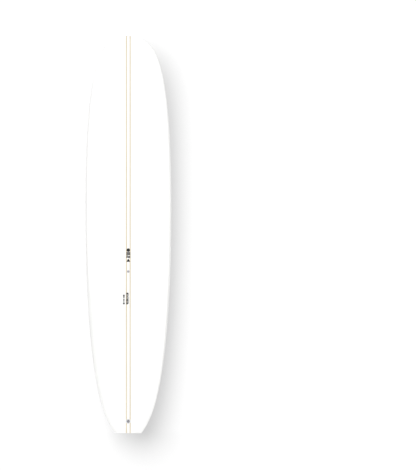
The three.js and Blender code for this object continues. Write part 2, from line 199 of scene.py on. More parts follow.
def bezier(points, steps):
    """Points of a cubic curve from its two ends and two handles."""
    t = np.linspace(0, 1, steps)[:, None]
    p = np.array(points, float)
    return (1 - t) ** 3 * p[0] + 3 * (1 - t) ** 2 * t * p[1] + 3 * (1 - t) * t**2 * p[2] + t**3 * p[3]


# The outline as (height, half width): from the tail to the widest point, and on to the nose
WIDEST = (WIDE_POINT, HALF_WIDTH)
TAIL_CURVE = [(0, TAIL_HALF_WIDTH), TAIL_HANDLE, (WIDE_HANDLES[0], HALF_WIDTH), WIDEST]
NOSE_CURVE = [WIDEST, (WIDE_HANDLES[1], HALF_WIDTH), (LENGTH, NOSE_HANDLE), (LENGTH, 0)]
OUTLINE = np.vstack([bezier(TAIL_CURVE, CURVE_STEPS[0]), bezier(NOSE_CURVE, CURVE_STEPS[1])[1:]])


def half_width(z):
    return np.interp(z, OUTLINE[:, 0], OUTLINE[:, 1])


def towards_end(z, start):
    """How far z is from the height `start` towards the end of the board on its side, from 0 to 1."""
    return np.where(z < start, (start - z) / start, (z - start) / (LENGTH - start))


def blend(z, values):
    """Goes smoothly from the middle value at the thickest section to the first or last value at the ends."""
    tail, middle, nose = values
    share = np.clip(towards_end(z, THICK_POINT), 0, 1)
    share = share * share * (3 - 2 * share)
    return middle + (np.where(z < THICK_POINT, tail, nose) - middle) * share


def thickness(z):
    end = np.where(z < THICK_POINT, TAIL_THICKNESS, NOSE_THICKNESS)
    power = np.where(z < THICK_POINT, *THINNING)
    return end + (THICKEST - end) * (1 - towards_end(z, THICK_POINT) ** power)


def rocker(z):
    share = towards_end(z, FLAT_POINT)
    tail, nose = ROCKER_POWER
    return np.where(z < FLAT_POINT, TAIL_ROCKER * share**tail, NOSE_ROCKER * share**nose)


def rail_line(z):
    """Where the rail is, front to back."""
    return BASE_Y - rocker(z) - thickness(z) * blend(z, RAIL_SHARE)


def nose_closing(z):
    """What is left of a section's height where the nose edge rounds off."""
    share = np.clip((z - (LENGTH - NOSE_ROUND)) / NOSE_ROUND, 0, 1)
    return np.sqrt(1 - share * share)


def bottom_height(z):
    return thickness(z) * blend(z, RAIL_SHARE) * nose_closing(z)


def deck_height(z):
    return thickness(z) * (1 - blend(z, RAIL_SHARE)) * nose_closing(z)


def surface_y(x, z, side):
    """The board's surface at (x, z): side 1 is the bottom, -1 the deck."""
    flatness = blend(z, BOTTOM_FLATNESS if side > 0 else DECK_FLATNESS)
    height = bottom_height(z) if side > 0 else deck_height(z)
    inside = np.clip(1 - np.abs(x / half_width(z)) ** flatness, 0, 1)
    return rail_line(z) + side * height * inside ** (1 / FULLNESS)


# ---- Mesh helpers ----

def mesh_object(name, points, faces):
    mesh = bpy.data.meshes.new(name)
    mesh.from_pydata([tuple(map(float, p)) for p in points], [], [tuple(map(int, f)) for f in faces])
    mesh.update()
    obj = bpy.data.objects.new(name, mesh)
    bpy.context.scene.collection.objects.link(obj)
    return obj


def loft_faces(rings, sides, start=0):
    """Faces of a tube through rings of `sides` points each."""
    faces = []
    for i in range(rings - 1):
        for k in range(sides):
            a = start + i * sides + k
            b = start + i * sides + (k + 1) % sides
            faces.append((a, a + sides, b + sides, b))
    return faces


def loft(name, rings):
    """A closed solid through rings of equal length, capped at both ends."""
    rings = np.array(rings, float)
    count, sides = rings.shape[:2]
    faces = loft_faces(count, sides)
    faces.append(tuple(range(sides)))
    faces.append(tuple(reversed(range((count - 1) * sides, count * sides))))
    obj = mesh_object(name, rings.reshape(-1, 3), faces)
    face_outwards(obj)
    return obj


def face_outwards(obj):
    work = bmesh.new()
    work.from_mesh(obj.data)
    bmesh.ops.recalc_face_normals(work, faces=work.faces)
    work.to_mesh(obj.data)
    work.free()


def apply_modifiers(obj):
    """Replaces the object's mesh with what its modifiers make of it."""
    bpy.context.view_layer.update()
    graph = bpy.context.evaluated_depsgraph_get()
    made = bpy.data.meshes.new_from_object(obj.evaluated_get(graph))
    obj.modifiers.clear()
    obj.data = made


def combine(obj, cutter, operation="DIFFERENCE", keep=False):
    """Cuts one solid with another, which is then removed unless it is kept."""
    modifier = obj.modifiers.new("combine", "BOOLEAN")
    modifier.object = cutter
    modifier.operation = operation
    modifier.solver = "MANIFOLD"
    apply_modifiers(obj)
    if not keep:
        bpy.data.objects.remove(cutter)


def finish_piece(obj, slot_name, material, *replaced):
    """Shading, material and body of one piece, and the CAD nodes that it stands for. Its slot name is not
    used.
    """
    obj.data.shade_smooth()
    obj.data.set_sharp_from_angle(angle=SHARP_ANGLE)
    obj.data.materials.clear()
    obj.data.materials.append(material)
    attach(obj, "root")
    if replaced:
        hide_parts(*replaced)


# ---- Board skin ----

def section_points(z, inset=0.0):
    """Half a section from the bottom's centre round the +X rail to the deck's, closer where it turns."""
    quarters = []
    for side, flatness, height in (
        (1, blend(z, BOTTOM_FLATNESS), bottom_height(z)),
        (-1, blend(z, DECK_FLATNESS), deck_height(z)),
    ):
        s = np.linspace(0, 1, DENSE_POINTS)
        angle = math.pi / 2 * s ** (flatness / 2)
        x = (half_width(z) - inset) * np.sin(angle) ** (2 / flatness)
        y = side * (height - inset) * np.abs(np.cos(angle)) ** (2 / FULLNESS)
        quarters.append(np.stack([x, rail_line(z) + y], 1))
    dense = np.vstack([quarters[0], quarters[1][::-1][1:]])
    step = np.diff(dense, axis=0)
    turn = np.abs(np.diff(np.unwrap(np.arctan2(step[:, 1], step[:, 0]))))
    weight = np.linalg.norm(step, axis=1) / max(half_width(z), NARROWEST)
    weight[1:] += TURN_WEIGHT * turn
    place = np.concatenate([[0], np.cumsum(weight)])
    wanted = np.linspace(0, place[-1], HALF_RING + 1)
    return np.stack([np.interp(wanted, place, dense[:, i]) for i in range(2)], 1)


def section_ring(z, inset=0.0):
    """A whole section: the +X half and its mirror image."""
    half = section_points(z, inset)
    other = half[1:-1][::-1] * [-1, 1]
    ring = np.vstack([half, other])
    return np.column_stack([ring, np.full(len(ring), z)])


def section_heights():
    """Heights of the sections, closer together where the outline curves."""
    tail = bezier(TAIL_CURVE, TAIL_ROWS)[:, 0]
    nose = bezier(NOSE_CURVE, NOSE_ROWS)[1:-1, 0]
    return np.concatenate([tail[tail > FIRST_ROW], nose])


def skin_rings():
    """Rings from the tail's face, round its edge and up to the nose."""
    rings = []
    for i in range(TAIL_EDGE_ROWS):
        angle = math.pi / 2 * i / (TAIL_EDGE_ROWS - 1)
        ring = section_ring(TAIL_EDGE, TAIL_EDGE * (1 - math.sin(angle)))
        ring[:, 2] = TAIL_EDGE * (1 - math.cos(angle))
        rings.append(ring)
    rings += [section_ring(z) for z in section_heights()]
    return np.array(rings)


def skin_normals(rings):
    """Outward directions at the rings' points. The first ring lies in the tail's face."""
    along = np.gradient(rings, axis=0)
    around = np.roll(rings, -1, axis=1) - np.roll(rings, 1, axis=1)
    normals = np.cross(along, around)
    normals[0] = (0, 0, -1)
    return normals / np.linalg.norm(normals, axis=2, keepdims=True)


def skin_part(rings, tip, start, inwards):
    """Points and faces of one closed skin: rings, a flat cap at the tail and a tip."""
    count, sides = rings.shape[:2]
    points = np.vstack([rings.reshape(-1, 3), [tip]])
    faces = loft_faces(count, sides, start)
    faces.append(tuple(start + k for k in range(sides)))
    top = start + (count - 1) * sides
    last = start + count * sides
    faces += [(top + (k + 1) % sides, top + k, last) for k in range(sides)]
    if inwards:
        faces = [tuple(reversed(face)) for face in faces]
    return points, faces


def make_skin():
    """The whole laminate as one hollow shell: a fine outer surface and a coarser inner one."""
    rings = skin_rings()
    tip = np.array([0, BASE_Y - NOSE_ROCKER - NOSE_THICKNESS * RAIL_SHARE[2], LENGTH])
    points, faces = skin_part(rings, tip, 0, False)
    inner = (rings - LAMINATE * skin_normals(rings))[::2, ::2]
    inner_points, inner_faces = skin_part(inner, tip - [0, 0, LAMINATE], len(points), True)
    return mesh_object("skin", np.vstack([points, inner_points]), faces + inner_faces)


def bottom_sheet_block():
    """A block that holds the bottom sheet: its outline is the board's, drawn in by the lap."""
    across = (HALF_WIDTH - LAP) / HALF_WIDTH
    along = (LENGTH - 2 * LAP) / LENGTH
    rings = []
    for height in np.concatenate([[0], section_heights()]):
        edge = float(half_width(height)) * across
        z = LAP + height * along
        low = float(rail_line(z))
        rings.append([(-edge, BEYOND, z), (edge, BEYOND, z), (edge, low, z), (-edge, low, z)])
    return loft("sheet_block", rings)


# ---- Seats: frames on the centre line. Local Z is outwards, local Y towards the nose ----

def seat(z, side):
    """The frame at height z on the centre line, on the bottom (side 1) or the deck (side -1)."""
    step = 0.001

    def line(height):
        return float(surface_y(0.0, height, side))

    slope = (line(z + step) - line(z - step)) / (2 * step)
    along = Vector((0, slope, 1)).normalized()
    out = Vector((0, 1, -slope)).normalized() * side
    place = Matrix((along.cross(out), along, out)).transposed().to_4x4()
    place.translation = (0, line(z), z)
    return place


def surface_rise(place, side, x, y):
    """How far the board's surface stands above a seat's plane at the local point (x, y)."""
    rise = 0.0
    for _ in range(SEARCH_STEPS):
        point = place @ Vector((x, y, rise))
        miss = float(surface_y(point.x, point.z, side)) - point.y
        rise += miss / place.col[2].y
    return rise


BOX_SEAT = seat(BOX_CENTRE, 1)
LEASH_SEAT = seat(LEASH_CENTRE, -1)
VENT_SEAT = seat(VENT_CENTRE, -1)


def moved(obj, place):
    """Puts a mesh that was made round the origin in its place."""
    obj.data.transform(place)
    obj.data.update()
    return obj


# ---- Long rings for the fin box: rounded rectangles with the same number of points ----

def side_heights(reach):
    """Heights of the points along a straight side, with a pair at each end of the notch."""
    ends = [NOTCH_OFFSET + s * NOTCH_LENGTH / 2 + d for s in (-1, 1) for d in (-HAIR, HAIR)]
    return sorted(list(np.linspace(-reach, reach, SIDE_STEPS)) + ends)


def long_ring(size, level, grow=0.0, radius=None, notched=False):
    """A rounded rectangle at a level: a number, or a function of (x, y). A notch widens it to the track."""
    half = size[0] / 2 + grow
    radius = half if radius is None else radius
    reach = size[1] / 2 + grow - radius
    notch_half = PIN_TRACK[0] / 2 + grow - 2 * HAIR

    def side_x(y):
        return notch_half if notched and abs(y - NOTCH_OFFSET) < NOTCH_LENGTH / 2 else half

    def corner(x, y, quarter):
        turns = [math.pi / 2 * (quarter + (k + 0.5) / CORNER_STEPS) for k in range(CORNER_STEPS)]
        return [(x + radius * math.cos(a), y + radius * math.sin(a)) for a in turns]

    heights = side_heights(reach)
    points = [(side_x(y), y) for y in heights]
    points += corner(half - radius, reach, 0) + corner(radius - half, reach, 1)
    points += [(-side_x(y), y) for y in reversed(heights)]
    points += corner(radius - half, -reach, 2) + corner(half - radius, -reach, 3)
    return [(x, y, level(x, y) if callable(level) else level) for x, y in points]


# ---- Turned pieces ----

def arc(centre, radius, start, end, steps=6):
    """Points of an arc between two angles in degrees."""
    angles = np.radians(np.linspace(start, end, steps + 1))
    return [(centre[0] + radius * math.cos(a), centre[1] + radius * math.sin(a)) for a in angles]


def turned(name, profile, closed=False):
    """A solid turned about Z from (radius, height) pairs. It is capped at both ends, or closes on itself."""
    angles = 2 * math.pi * np.arange(ROUND) / ROUND
    rings = np.array([[(r * math.cos(a), r * math.sin(a), h) for a in angles] for r, h in profile])
    if not closed:
        return loft(name, rings)
    faces = loft_faces(len(rings) + 1, ROUND)
    faces = [tuple(k % (len(rings) * ROUND) for k in face) for face in faces]
    obj = mesh_object(name, rings.reshape(-1, 3), faces)
    face_outwards(obj)
    return obj


def drape(obj, place, side, above):
    """Lays the points that are higher than `above` in a seat on the board's surface."""
    for vertex in obj.data.vertices:
        if vertex.co.z > above:
            vertex.co.z += surface_rise(place, side, vertex.co.x, vertex.co.y)


# ---- Materials: textures are scaled to metres, and bumps' distances are in metres ----

def linear(*rgb):
    """A colour on the 0 to 255 scale of a screen (sRGB) as linear RGBA."""
    shares = [value / 255 for value in rgb]
    return tuple(((s + 0.055) / 1.055) ** 2.4 if s > 0.04045 else s / 12.92 for s in shares) + (1,)


class Paint:
    """Builds one material's nodes. Its coordinates are the board's own."""

    def __init__(self, name, **sockets):
        self.material = bpy.data.materials.new(name)
        self.material.use_nodes = True
        self.tree = self.material.node_tree
        self.tree.nodes.clear()
        self.shader = self.tree.nodes.new("ShaderNodeBsdfPrincipled")
        output = self.tree.nodes.new("ShaderNodeOutputMaterial")
        self.tree.links.new(self.shader.outputs[0], output.inputs["Surface"])
        self.where = self.tree.nodes.new("ShaderNodeTexCoord").outputs["Object"]
        for socket, value in sockets.items():
            self.shader.inputs[socket.replace("_", " ")].default_value = value

    def add(self, kind, inputs, output=0, **properties):
        """A new node with its inputs linked or set: the output asked for."""
        node = self.tree.nodes.new(kind)
        for key, value in properties.items():
            setattr(node, key, value)
        for key, value in inputs.items():
            if isinstance(value, bpy.types.NodeSocket):
                self.tree.links.new(value, node.inputs[key])
            else:
                node.inputs[key].default_value = value
        return node.outputs[output]

    def math(self, operation, first, second=0.0):
        return self.add("ShaderNodeMath", {0: first, 1: second}, operation=operation)

    def mix(self, share, first, second):
        """The first colour where share is 0, and the second where it is 1."""
        return self.add("ShaderNodeMix", {0: share, 6: first, 7: second}, 2, data_type="RGBA")

    def remap(self, value, low, high, to_low=0.0, to_high=1.0):
        """Goes smoothly from to_low at `low` to to_high at `high`, and no further."""
        inputs = {"Value": value, "From Min": low, "From Max": high, "To Min": to_low, "To Max": to_high}
        return self.add("ShaderNodeMapRange", inputs, interpolation_type="SMOOTHSTEP")

    def scaled(self, x, y, z):
        """The coordinates stretched along each axis."""
        return self.add("ShaderNodeMapping", {"Vector": self.where, "Scale": (x, y, z)})

    def noise(self, scale, detail=2.0, vector=None, roughness=0.5):
        inputs = {"Vector": vector or self.where, "Scale": scale, "Detail": detail, "Roughness": roughness}
        return self.add("ShaderNodeTexNoise", inputs)

    def axes(self):
        node = self.add("ShaderNodeSeparateXYZ", {0: self.where}).node
        return node.outputs

    def link(self, socket, value):
        """Feeds a node's output to the shader."""
        self.tree.links.new(value, self.shader.inputs[socket])

    def bump(self, height, distance, strength, socket="Normal"):
        inputs = {"Height": height, "Distance": distance, "Strength": strength}
        self.link(socket, self.add("ShaderNodeBump", inputs))

    def ripple_coat(self):
        """The clear coat's slow unevenness."""
        self.bump(self.noise(26, 2.0), 0.0005, 0.06, "Coat Normal")


WOOD_FIBRES = (1500, 300, 22)  # how fine the wood's grain is across, through and along the board
WEAVE_PITCH = 0.0014
MEMBRANE_PITCH = 0.0005


def wood_colour(paint, light, dark):
    """Fibres that run along the board, with slow changes of tone."""
    fibres = paint.noise(1.0, 5.0, paint.scaled(*WOOD_FIBRES), 0.6)
    tone = paint.noise(1.0, 2.0, paint.scaled(60, 60, 2.2))
    share = paint.math("ADD", paint.math("MULTIPLY", fibres, 0.75), paint.math("MULTIPLY", tone, 0.35))
    return paint.mix(paint.remap(share, 0.3, 0.8), light, dark)


def cloth_weave(paint, across, pitch):
    """A plain weave as a value round 0: strands along the board and across it."""
    _, _, along = paint.axes()
    turn = 2 * math.pi / pitch
    warp = paint.math("SINE", paint.math("MULTIPLY", across, turn))
    weft = paint.math("SINE", paint.math("MULTIPLY", along, turn))
    return paint.math("MULTIPLY", warp, weft)


STRINGER_WAVER = 0.0004  # how far the stringers' edges wander
STRINGER_BLUR = (0.0002, 0.0001)  # how softly an edge ends, inside and outside it
GLUE_LINE = 0.0008
GLUE_STRENGTH = 0.6


def glassed_foam(paint, weave):
    """White foam under glass cloth: faint clouds, cells and strands."""
    clouds = paint.remap(paint.noise(1.8, 3.0), 0.3, 0.7)
    white = paint.mix(clouds, linear(245, 245, 244), linear(248, 248, 246))
    cells = paint.remap(paint.noise(1400, 1.0), 0.55, 0.75, 0.0, 0.05)
    white = paint.mix(cells, white, linear(214, 214, 208))
    return paint.mix(paint.remap(weave, -1, 1, 0.0, 0.03), white, linear(228, 231, 228))


def show_lap(paint, white, tone):
    """Darkens what faces the bottom, where the deck's sheet lies over the other one."""
    normal = paint.add("ShaderNodeNewGeometry", {}).node.outputs["True Normal"]
    facing = paint.add("ShaderNodeSeparateXYZ", {0: normal}).node.outputs["Y"]
    return paint.mix(paint.remap(facing, -0.35, -0.05, 0.0, tone), white, linear(226, 231, 224))


def show_stringers(paint, x, white):
    """Lays the two stringers' wood and their glue lines over the white, by the distance from each edge."""
    waver = paint.math("SUBTRACT", paint.noise(1.0, 1.0, paint.scaled(0, 0, 9)), 0.5)
    drifted = paint.math("ADD", x, paint.math("MULTIPLY", waver, STRINGER_WAVER))
    offset = paint.math("SUBTRACT", paint.math("ABSOLUTE", drifted), STRINGER_CENTRE)
    offset = paint.math("ABSOLUTE", offset)
    inner, outer = STRINGER_BLUR
    inside = paint.remap(offset, STRINGER_HALF - inner, STRINGER_HALF + outer, 1.0, 0.0)
    from_edge = paint.math("ABSOLUTE", paint.math("SUBTRACT", offset, STRINGER_HALF))
    glue = paint.remap(from_edge, 0, GLUE_LINE, GLUE_STRENGTH, 0)
    wood = wood_colour(paint, linear(222, 209, 180), linear(202, 184, 146))
    return paint.mix(glue, paint.mix(inside, white, wood), linear(184, 164, 128))


def laminate(name, lap_tone):
    """Clear glass and resin over white foam, with the stringers' edges showing through.

    lap_tone is how much the double layer shows where the sheet laps onto the bottom.
    """
    paint = Paint(name, Roughness=0.3, Coat_Weight=1.0, Coat_Roughness=0.06, IOR=1.5)
    x, _, _ = paint.axes()
    weave = cloth_weave(paint, x, WEAVE_PITCH)
    white = glassed_foam(paint, weave)
    if lap_tone:
        white = show_lap(paint, white, lap_tone)
    paint.link("Base Color", show_stringers(paint, x, white))
    paint.bump(paint.math("ADD", weave, paint.noise(500, 2.0)), 0.00004, 0.25)
    paint.ripple_coat()
    return paint.material


def foam_material():
    paint = Paint("foam_blank", Roughness=0.95)
    cells = paint.noise(1800, 3.0)
    shade = paint.mix(paint.noise(12, 3.0), linear(244, 243, 236), linear(236, 233, 222))
    paint.link("Base Color", paint.mix(paint.remap(cells, 0.4, 0.7, 0, 0.3), shade, linear(214, 210, 198)))
    paint.bump(cells, 0.0003, 0.6)
    return paint.material


def stringer_material():
    paint = Paint("stringer_wood", Roughness=0.65)
    paint.link("Base Color", wood_colour(paint, linear(222, 199, 156), linear(176, 142, 94)))
    paint.bump(paint.noise(1.0, 4.0, paint.scaled(*WOOD_FIBRES)), 0.0002, 0.5)
    return paint.material


def resin_material(name, light, dark):
    """Bedding resin, filled and sanded flush, with fine bubbles."""
    paint = Paint(name, Roughness=0.3, Coat_Weight=0.6, Coat_Roughness=0.1)
    tone = paint.mix(paint.noise(70, 3.0), light, dark)
    bubbles = paint.add("ShaderNodeTexVoronoi", {"Vector": paint.where, "Scale": 900.0})
    spots = paint.remap(bubbles, 0.05, 0.16, 0.5, 0.0)
    paint.link("Base Color", paint.mix(spots, tone, dark))
    paint.bump(paint.noise(900, 2.0), 0.00005, 0.4)
    return paint.material


def moulded_plastic(name, light, dark, rough, streaks):
    """Moulded plastic with a fine grain. streaks is how strongly sanding marks show along the board."""
    paint = Paint(name, IOR=1.49)
    tone = paint.mix(paint.noise(160, 3.0), light, dark)
    marks = paint.noise(1.0, 3.0, paint.scaled(4200, 900, 60), 0.7)
    paint.link("Base Color", paint.mix(paint.remap(marks, 0.5, 0.8, 0.0, streaks), tone, dark))
    paint.link("Roughness", paint.remap(marks, 0.3, 0.7, rough - 0.08, rough + 0.12))
    paint.bump(paint.math("ADD", paint.noise(2600, 2.0), marks), 0.00004, 0.5)
    return paint.material


def steel_material():
    paint = Paint("brushed_steel", Metallic=1.0, Anisotropic=0.5)
    lines = paint.noise(1.0, 4.0, paint.scaled(60, 6000, 6000), 0.7)
    paint.link("Base Color", paint.mix(lines, linear(205, 207, 210), linear(168, 171, 176)))
    paint.link("Roughness", paint.remap(lines, 0.3, 0.7, 0.2, 0.4))
    paint.bump(lines, 0.00002, 0.5)
    return paint.material


def rubber_material():
    paint = Paint("seal_rubber")
    grain = paint.noise(3000, 2.0)
    paint.link("Base Color", paint.mix(grain, linear(24, 24, 25), linear(44, 44, 45)))
    paint.link("Roughness", paint.remap(grain, 0.3, 0.7, 0.7, 0.9))
    return paint.material


def membrane_material():
    paint = Paint("membrane_cloth", Roughness=0.85)
    x, _, _ = paint.axes()
    weave = cloth_weave(paint, x, MEMBRANE_PITCH)
    tone = paint.mix(paint.remap(weave, -1, 1), linear(238, 238, 236), linear(212, 213, 213))
    paint.link("Base Color", tone)
    paint.bump(weave, 0.00005, 0.6)
    return paint.material


MOTTLE = 0.4  # how much of the thin ink's tone the paper's mottle brings in


def ink_material(name, dense, thin, gloss):
    """Printed ink under the clear coat, with some of the paper's mottle. gloss is the coat's weight."""
    coat = {"Coat_Weight": gloss, "Coat_Roughness": 0.04, "Coat_IOR": 1.33}
    paint = Paint(name, Roughness=0.4, Specular_IOR_Level=0.1, **coat)
    mottle = paint.remap(paint.noise(700, 4.0, roughness=0.7), 0.35, 0.75, 0.0, MOTTLE)
    clouds = paint.remap(paint.noise(45, 2.0), 0.3, 0.7, 0.0, MOTTLE / 2)
    paint.link("Base Color", paint.mix(paint.math("MAXIMUM", mottle, clouds), dense, thin))
    paint.ripple_coat()
    return paint.material


# ---- Laminates ----

LONG_POCKET = 0.02  # how far a pocket's block runs in and out from its seat
ROUND_POCKET = 0.01


def long_pocket(name, place, size):
    """A long block through the laminate at a seat."""
    return moved(loft(name, [long_ring(size, level) for level in (-LONG_POCKET, LONG_POCKET)]), place)


def round_pocket(name, place, radius):
    """A round block through the laminate at a seat."""
    return moved(turned(name, [(radius, level) for level in (-ROUND_POCKET, ROUND_POCKET)]), place)


def make_laminates():
    """The skin, split by the bottom sheet's block into the deck's and the bottom's sheet."""
    deck = make_skin()
    bottom = deck.copy()
    bottom.data = deck.data.copy()
    bpy.context.scene.collection.objects.link(bottom)
    deck.name, bottom.name = "deck_glass", "bottom_glass"
    block = bottom_sheet_block()
    combine(deck, block, "DIFFERENCE", keep=True)
    combine(bottom, block, "INTERSECT")
    combine(deck, round_pocket("leash_pocket", LEASH_SEAT, LEASH_BED))
    combine(deck, round_pocket("vent_pocket", VENT_SEAT, VENT_FLANGE))
    combine(bottom, long_pocket("box_pocket", BOX_SEAT, BED_RIM))
    finish_piece(deck, "laminate", laminate("deck_gloss", 0.1), "deck_laminate")
    finish_piece(bottom, "laminate", laminate("bottom_gloss", 0.0), "bottom_laminate")


# ---- Fin box ----

def box_top(x, y):
    """The level of the board's surface in the fin box's seat."""
    return surface_rise(BOX_SEAT, 1, x, y)


def below_top(drop):
    return lambda x, y: box_top(x, y) - drop


def make_fin_box(plastic):
    """From the body up the outside, over the slot's rounded rim, and down through the track to the floor."""
    under_track = -TRACK_TOP - TRACK_HEIGHT
    rings = [
        long_ring(BOX_BODY, -BOX_DEPTH),
        long_ring(BOX_BODY, -BOX_FLANGE_DEPTH),
        long_ring(BOX_FLANGE, -BOX_FLANGE_DEPTH),
        long_ring(BOX_FLANGE, below_top(BOX_EDGE / 3)),
        long_ring(BOX_FLANGE, box_top, -BOX_EDGE / 3),
    ]
    for angle in (0, 30, 60, 90):
        turn = math.radians(angle)
        drop = BOX_EDGE * (1 - math.cos(turn))
        rings.append(long_ring(FIN_SLOT, below_top(drop), BOX_EDGE * (1 - math.sin(turn)), notched=True))
    rings += [
        long_ring(FIN_SLOT, -TRACK_TOP, notched=True),
        long_ring(PIN_TRACK, -TRACK_TOP, radius=TRACK_CORNER),
        long_ring(PIN_TRACK, under_track, radius=TRACK_CORNER),
        long_ring(FIN_SLOT, under_track),
        long_ring(FIN_SLOT, -SLOT_DEPTH + SLOT_FOOT),
        long_ring(FIN_SLOT, -SLOT_DEPTH, -SLOT_FOOT),
    ]
    box = moved(loft("fin_box_moulding", rings), BOX_SEAT)
    finish_piece(box, "fin_box", plastic, "fin_box")


def make_box_bedding(resin):
    rings = [
        long_ring(BED_BODY, -BED_DEPTH),
        long_ring(BED_BODY, -BED_RIM_DEPTH),
        long_ring(BED_RIM, -BED_RIM_DEPTH),
        long_ring(BED_RIM, box_top),
        long_ring(BOX_FLANGE, box_top),
        long_ring(BOX_FLANGE, -BOX_FLANGE_DEPTH),
        long_ring(BOX_BODY, -BOX_FLANGE_DEPTH),
        long_ring(BOX_BODY, -BOX_DEPTH),
    ]
    bed = moved(loft("fin_box_resin", rings), BOX_SEAT)
    finish_piece(bed, "bedding_resin", resin, "fin_box_bedding")


# ---- Leash plug ----

def leash_cup_profile():
    """From the cup's foot up the outside, over the rim with its groove, and down into the well."""
    lip = LEASH_LIP
    floor = -LEASH_WELL_DEPTH
    levels = (PROUD, PROUD - LEASH_GROOVE_DEPTH, PROUD - LEASH_GROOVE_DEPTH, PROUD)
    profile = [(LEASH_CUP, -LEASH_CUP_DEPTH), (LEASH_CUP, -LEASH_RIM_DEPTH), (LEASH_RIM, -LEASH_RIM_DEPTH)]
    profile += arc((LEASH_RIM - lip, PROUD - lip), lip, 0, 90)
    profile += list(zip(LEASH_GROOVE, levels))
    profile += arc((LEASH_WELL + lip, PROUD - lip), lip, 90, 180)
    profile += arc((LEASH_WELL - LEASH_WELL_ROUND, floor + LEASH_WELL_ROUND), LEASH_WELL_ROUND, 0, -90)
    return profile + [(CAP_RADIUS, floor)]


def make_leash_plug(plastic, steel, resin):
    cup = moved(turned("leash_cup", leash_cup_profile()), LEASH_SEAT)
    finish_piece(cup, "leash_plug", plastic, "leash_plug_cup")

    bar = turned("leash_pin", [(LEASH_BAR, -LEASH_BAR_HALF), (LEASH_BAR, LEASH_BAR_HALF)])
    sideways = Matrix.Rotation(math.pi / 2, 4, "Y")
    bar.data.transform(Matrix.Translation((0, 0, -LEASH_BAR_DEPTH)) @ sideways)
    finish_piece(moved(bar, LEASH_SEAT), "leash_bar", steel, "leash_plug_bar")

    ring = turned("leash_resin", [
        (LEASH_BED, -LEASH_BED_DEPTH),
        (LEASH_BED, 0),
        (LEASH_RIM, 0),
        (LEASH_RIM, -LEASH_RIM_DEPTH),
        (LEASH_CUP, -LEASH_RIM_DEPTH),
        (LEASH_CUP, -LEASH_CUP_DEPTH),
    ])
    drape(ring, LEASH_SEAT, -1, -LEASH_RIM_DEPTH / 2)
    finish_piece(moved(ring, LEASH_SEAT), "bedding_resin", resin, "leash_plug_bedding")


# ---- Vent ----

def make_vent(bush_plastic, plug_plastic):
    profile = [
        (VENT_BODY, -VENT_BODY_DEPTH),
        (VENT_BODY, -VENT_FLANGE_DEPTH),
        (VENT_FLANGE, -VENT_FLANGE_DEPTH),
        *arc((VENT_FLANGE - VENT_LIP, PROUD - VENT_LIP), VENT_LIP, 0, 90, LIP_STEPS),
        *arc((VENT_SEAT_RADIUS + VENT_LIP, PROUD - VENT_LIP), VENT_LIP, 90, 180, LIP_STEPS),
        (VENT_SEAT_RADIUS, -VENT_SEAT_DEPTH),
        (VENT_BORE, -VENT_SEAT_DEPTH),
        (VENT_BORE, -VENT_BODY_DEPTH),
    ]
    bush = moved(turned("vent_bush", profile, closed=True), VENT_SEAT)
    finish_piece(bush, "vent", bush_plastic, "vent_housing")

    head = VENT_SEAT_RADIUS - PLUG_GAP
    recess, recess_depth = PLUG_RECESS
    mouth, mouth_low = AIR_HOLE_MOUTH
    profile = [
        (recess, -PLUG_DEPTH),
        (PLUG_STEM, -PLUG_DEPTH),
        (PLUG_STEM, -PLUG_HEAD_DEPTH),
        (head, -PLUG_HEAD_DEPTH),
        *arc((head - VENT_LIP, PROUD - VENT_LIP), VENT_LIP, 0, 90, LIP_STEPS),
        (mouth, PROUD),
        (mouth_low, PROUD - AIR_HOLE_BEVEL),
        (AIR_HOLE, -AIR_HOLE_MOUTH_DEPTH),
        (AIR_HOLE, -recess_depth),
        (recess, -recess_depth),
    ]
    plug = moved(turned("vent_screw", profile, closed=True), VENT_SEAT)
    finish_piece(plug, "vent", plug_plastic, "vent_plug")


# ---- Printed marks: plain shapes of ink, cut out of a thin sheet that follows the board ----

def grid(centre, size, least):
    """Places across a size, about SHEET_STEP apart, and at least `least` of them."""
    return np.linspace(centre - size / 2, centre + size / 2, max(least, int(size / SHEET_STEP)))


def surface_sheet(name, printed, side, proud):
    """A thin sheet over a print's area, from just under the board's surface to `proud` above it."""
    z, x, width, length = printed
    across = grid(x, width, least=6)
    rings = []
    for level in grid(z, length, least=8):
        y = surface_y(across, level, side)
        top = [(a, b + side * proud, level) for a, b in zip(across, y)]
        under = [(a, b - side * INK_DEPTH, level) for a, b in zip(across, y)]
        rings.append(top + under[::-1])
    return loft(name, rings)


def prisms(name, printed, outlines):
    """Upright blocks from outlines of (across, along) points round a print's centre."""
    z, x, _, _ = printed
    points, faces = [], []
    for outline in outlines:
        start, count = len(points), len(outline)
        for depth in (-BEYOND, BEYOND):
            points += [(x + u, depth, z + v) for u, v in outline]
        faces.append(tuple(range(start, start + count)))
        faces.append(tuple(reversed(range(start + count, start + 2 * count))))
        faces += [
            (start + k, start + count + k, start + count + (k + 1) % count, start + (k + 1) % count)
            for k in range(count)
        ]
    obj = mesh_object(name, points, faces)
    face_outwards(obj)
    return obj


def bar(x, y, width, height, radius=BAR_CORNER):
    """A rounded bar, centred at (x, y)."""
    points = []
    for quarter, (sx, sy) in enumerate(((1, 1), (-1, 1), (-1, -1), (1, -1))):
        centre = (x + sx * (width / 2 - radius), y + sy * (height / 2 - radius))
        points += arc(centre, radius, 90 * quarter, 90 * quarter + 90, LIP_STEPS)
    return points


def disc(x, y, radius, steps=DISC_STEPS):
    """A disc's outline, centred at (x, y)."""
    return arc((x, y), radius, 0, 360, steps)[:-1]


